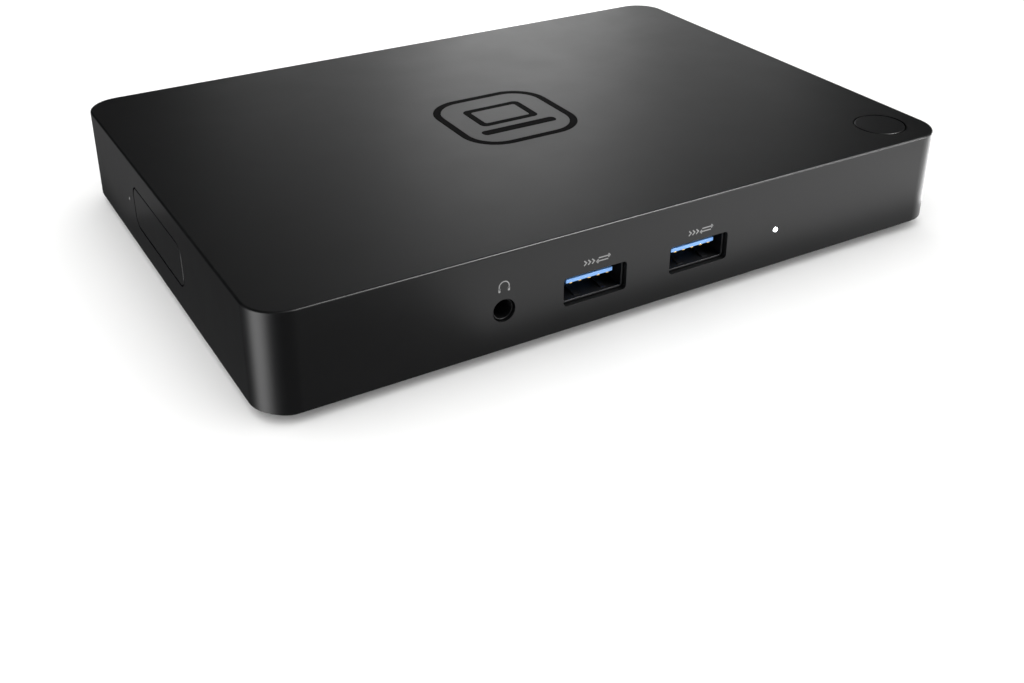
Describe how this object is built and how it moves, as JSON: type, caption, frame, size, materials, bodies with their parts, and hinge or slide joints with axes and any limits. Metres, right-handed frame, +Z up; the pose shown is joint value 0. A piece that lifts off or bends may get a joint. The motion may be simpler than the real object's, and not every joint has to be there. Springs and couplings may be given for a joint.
{
  "type": "laptop docking station",
  "caption": "Flat rounded laptop docking station with front and rear data, video, network, audio and power ports, a power button and a removable side cover.",
  "frame": {"origin": "centre of the rubber foot ring's bounding rectangle, on the table", "axes": "+Z up, -Y the front face with the headset jack, +X to the right as seen from the front"},
  "size_m": [0.152, 0.107, 0.0214],
  "materials": {
    "case_plastic": "fine moulded texture",
    "base_plastic": "fine moulded texture",
    "foot_rubber": "matte",
    "button_plastic": "fine moulded texture",
    "badge_gloss": "gloss",
    "label_film": "satin film",
    "screw_steel": "black zinc",
    "port_steel": "stamped and plated",
    "bright_steel": "plated",
    "contact_gold": "gold flash",
    "port_black": "moulded",
    "port_grey": "moulded",
    "tongue_pale": "moulded",
    "tongue_blue": "moulded",
    "tongue_light_blue": "moulded",
    "light_clear": "clear",
    "board_green": "solder mask",
    "chip_epoxy": "moulded epoxy",
    "pad_grey": "soft pad",
    "sink_aluminium": "satin",
    "can_aluminium": "satin",
    "header_cream": "moulded",
    "flex_film": "film"
  },
  "bodies": {
    "chassis": {"top_case": "case_plastic", "bottom_cover": "base_plastic", "foot_ring": "foot_rubber", "rating_plate": "label_film", "case_screws": "screw_steel", "badge": "badge_gloss", "switch_body": "port_black", "button_board": "board_green", "button_board_screws": "bright_steel", "button_flex": "flex_film", "cable_bay": "port_black", "laptop_socket": "port_steel", "laptop_socket_tongue": "port_black", "lock_bracket": "port_steel", "light_pipe": "light_clear", "status_light": "light_clear", "main_board": "board_green", "board_screws": "bright_steel", "front_board": "board_green", "audio_board": "board_green", "board_headers": "header_cream", "heat_spreader": "sink_aluminium", "thermal_pads": "pad_grey", "chips": "chip_epoxy", "inductors": "chip_epoxy", "capacitors": "can_aluminium", "shield_can": "port_steel", "headset_jack": "port_black", "front_port_shells": "port_steel", "front_port_tongues": "tongue_light_blue", "front_port_contacts": "contact_gold", "wide_video_shell": "port_steel", "wide_video_tongue": "port_grey", "small_video_shell": "port_steel", "small_video_tongue": "port_grey", "video_feet": "port_black", "video_contacts": "contact_gold", "dsub_shell": "bright_steel", "dsub_insulator": "port_grey", "dsub_sockets": "contact_gold", "jackscrew_sockets": "screw_steel", "network_jack": "port_grey", "network_shield": "port_steel", "network_contacts": "contact_gold", "network_lights": "light_clear", "stacked_port_shell": "port_steel", "stacked_port_tongues": "tongue_pale", "stacked_port_contacts": "contact_gold", "rear_port_shell": "port_steel", "rear_port_tongue": "tongue_blue", "rear_port_contacts": "contact_gold", "speaker_jack": "port_black", "power_jack": "port_black", "power_jack_sleeve": "port_grey", "power_jack_pin": "contact_gold"},
    "power_button": {"power_button": "button_plastic"},
    "switch_plunger": {"switch_plunger": "header_cream"},
    "cable_cover": {"cable_cover": "case_plastic"}
  },
  "joints": [
    {"name": "power_button_press", "type": "slide", "parent": "chassis", "child": "power_button", "axis": [0, 0, -1], "range_m": [0, 0.0005], "stiffness_N_per_m": 400, "springref_m": -0.001},
    {"name": "switch_plunger_press", "type": "slide", "parent": "chassis", "child": "switch_plunger", "axis": [0, 0, -1], "range_m": [0, 0.0005]},
    {"name": "cable_cover_pull", "type": "slide", "parent": "chassis", "child": "cable_cover", "axis": [-1, 0, 0], "range_m": [0, 0.012]}
  ],
  "couplings": [
    {"joint": "switch_plunger_press", "follows": "power_button_press", "ratio": 1}
  ]
}
